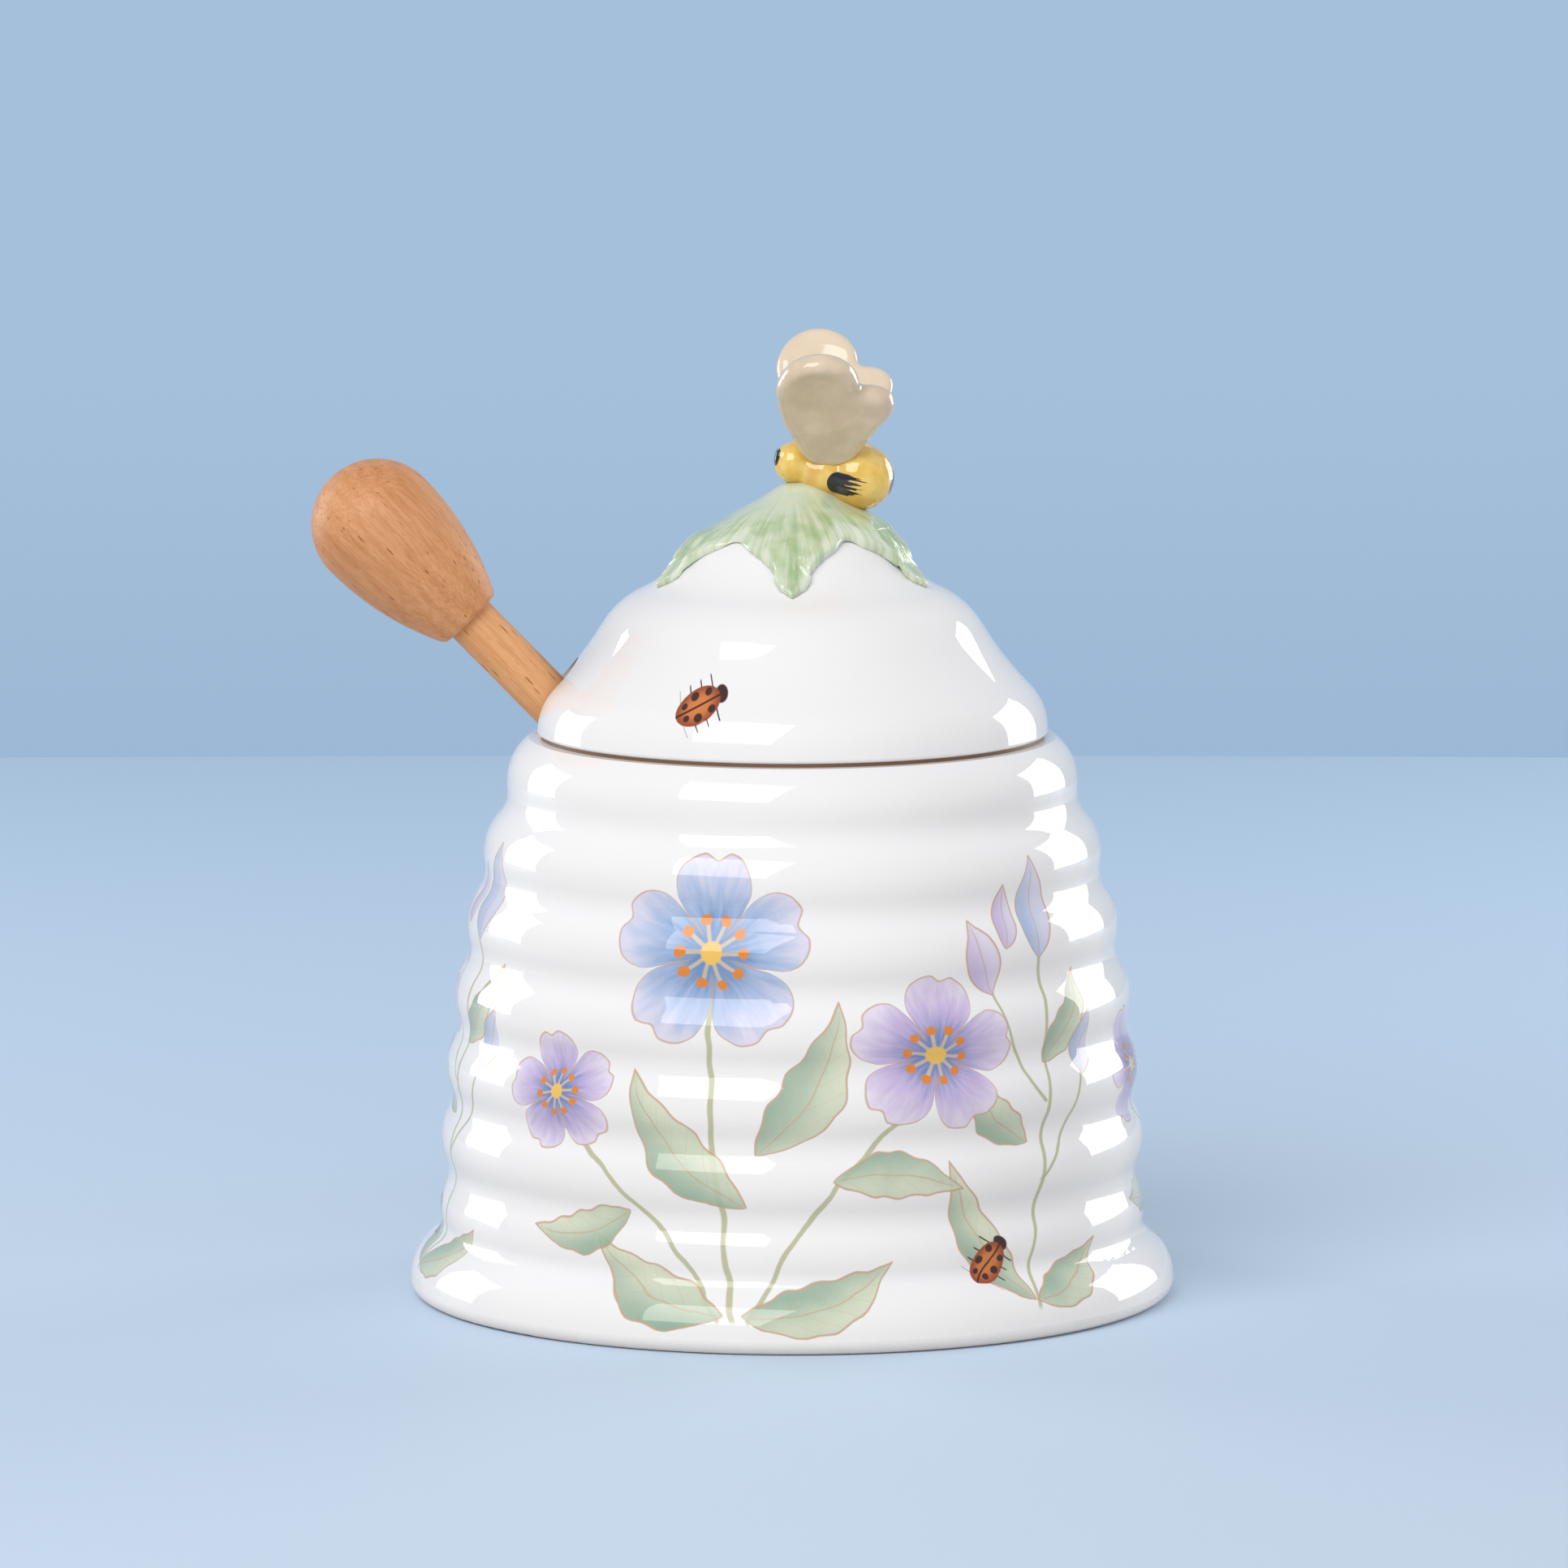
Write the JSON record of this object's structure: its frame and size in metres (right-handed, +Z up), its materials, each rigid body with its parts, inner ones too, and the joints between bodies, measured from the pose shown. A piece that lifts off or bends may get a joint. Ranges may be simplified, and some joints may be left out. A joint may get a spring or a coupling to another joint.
{
  "type": "honey pot",
  "caption": "Ribbed hive-shaped porcelain honey pot on a flared foot, with a lift-off domed lid topped by leaves and a bee, and a wooden dipper leaning out of a notch in the lid.",
  "frame": {"origin": "centre of the foot, on the plane of its resting ring", "axes": "+Z up along the pot's axis, -Y to the front, -X the side where the dipper leans out and the bee looks"},
  "size_m": [0.1364, 0.1212, 0.152],
  "materials": {
    "porcelain": "clear gloss glaze over white porcelain",
    "leaf_glaze": "brushed sage green under a gloss glaze",
    "bee_glaze": "honey yellow under a gloss glaze",
    "wing_glaze": "grey beige under a gloss glaze",
    "turned_wood": "sanded bare beech",
    "dowel_wood": "sanded bare beech"
  },
  "bodies": {
    "pot": {"pot_body": "porcelain"},
    "lid": {"lid_dome": "porcelain", "leaf_calyx": "leaf_glaze", "bee_body": "bee_glaze", "bee_wing_left": "wing_glaze", "bee_wing_right": "wing_glaze"},
    "dipper": {"dipper_knob": "turned_wood", "dipper_shaft": "dowel_wood", "dipper_head": "turned_wood"}
  },
  "joints": [
    {"name": "lid_lift", "type": "slide", "parent": "pot", "child": "lid", "axis": [0, 0, 1], "range_m": [0, 0.08]},
    {"name": "dipper_draw", "type": "slide", "parent": "pot", "child": "dipper", "axis": [-0.6982, 0, 0.7159], "range_m": [0, 0.065]}
  ]
}
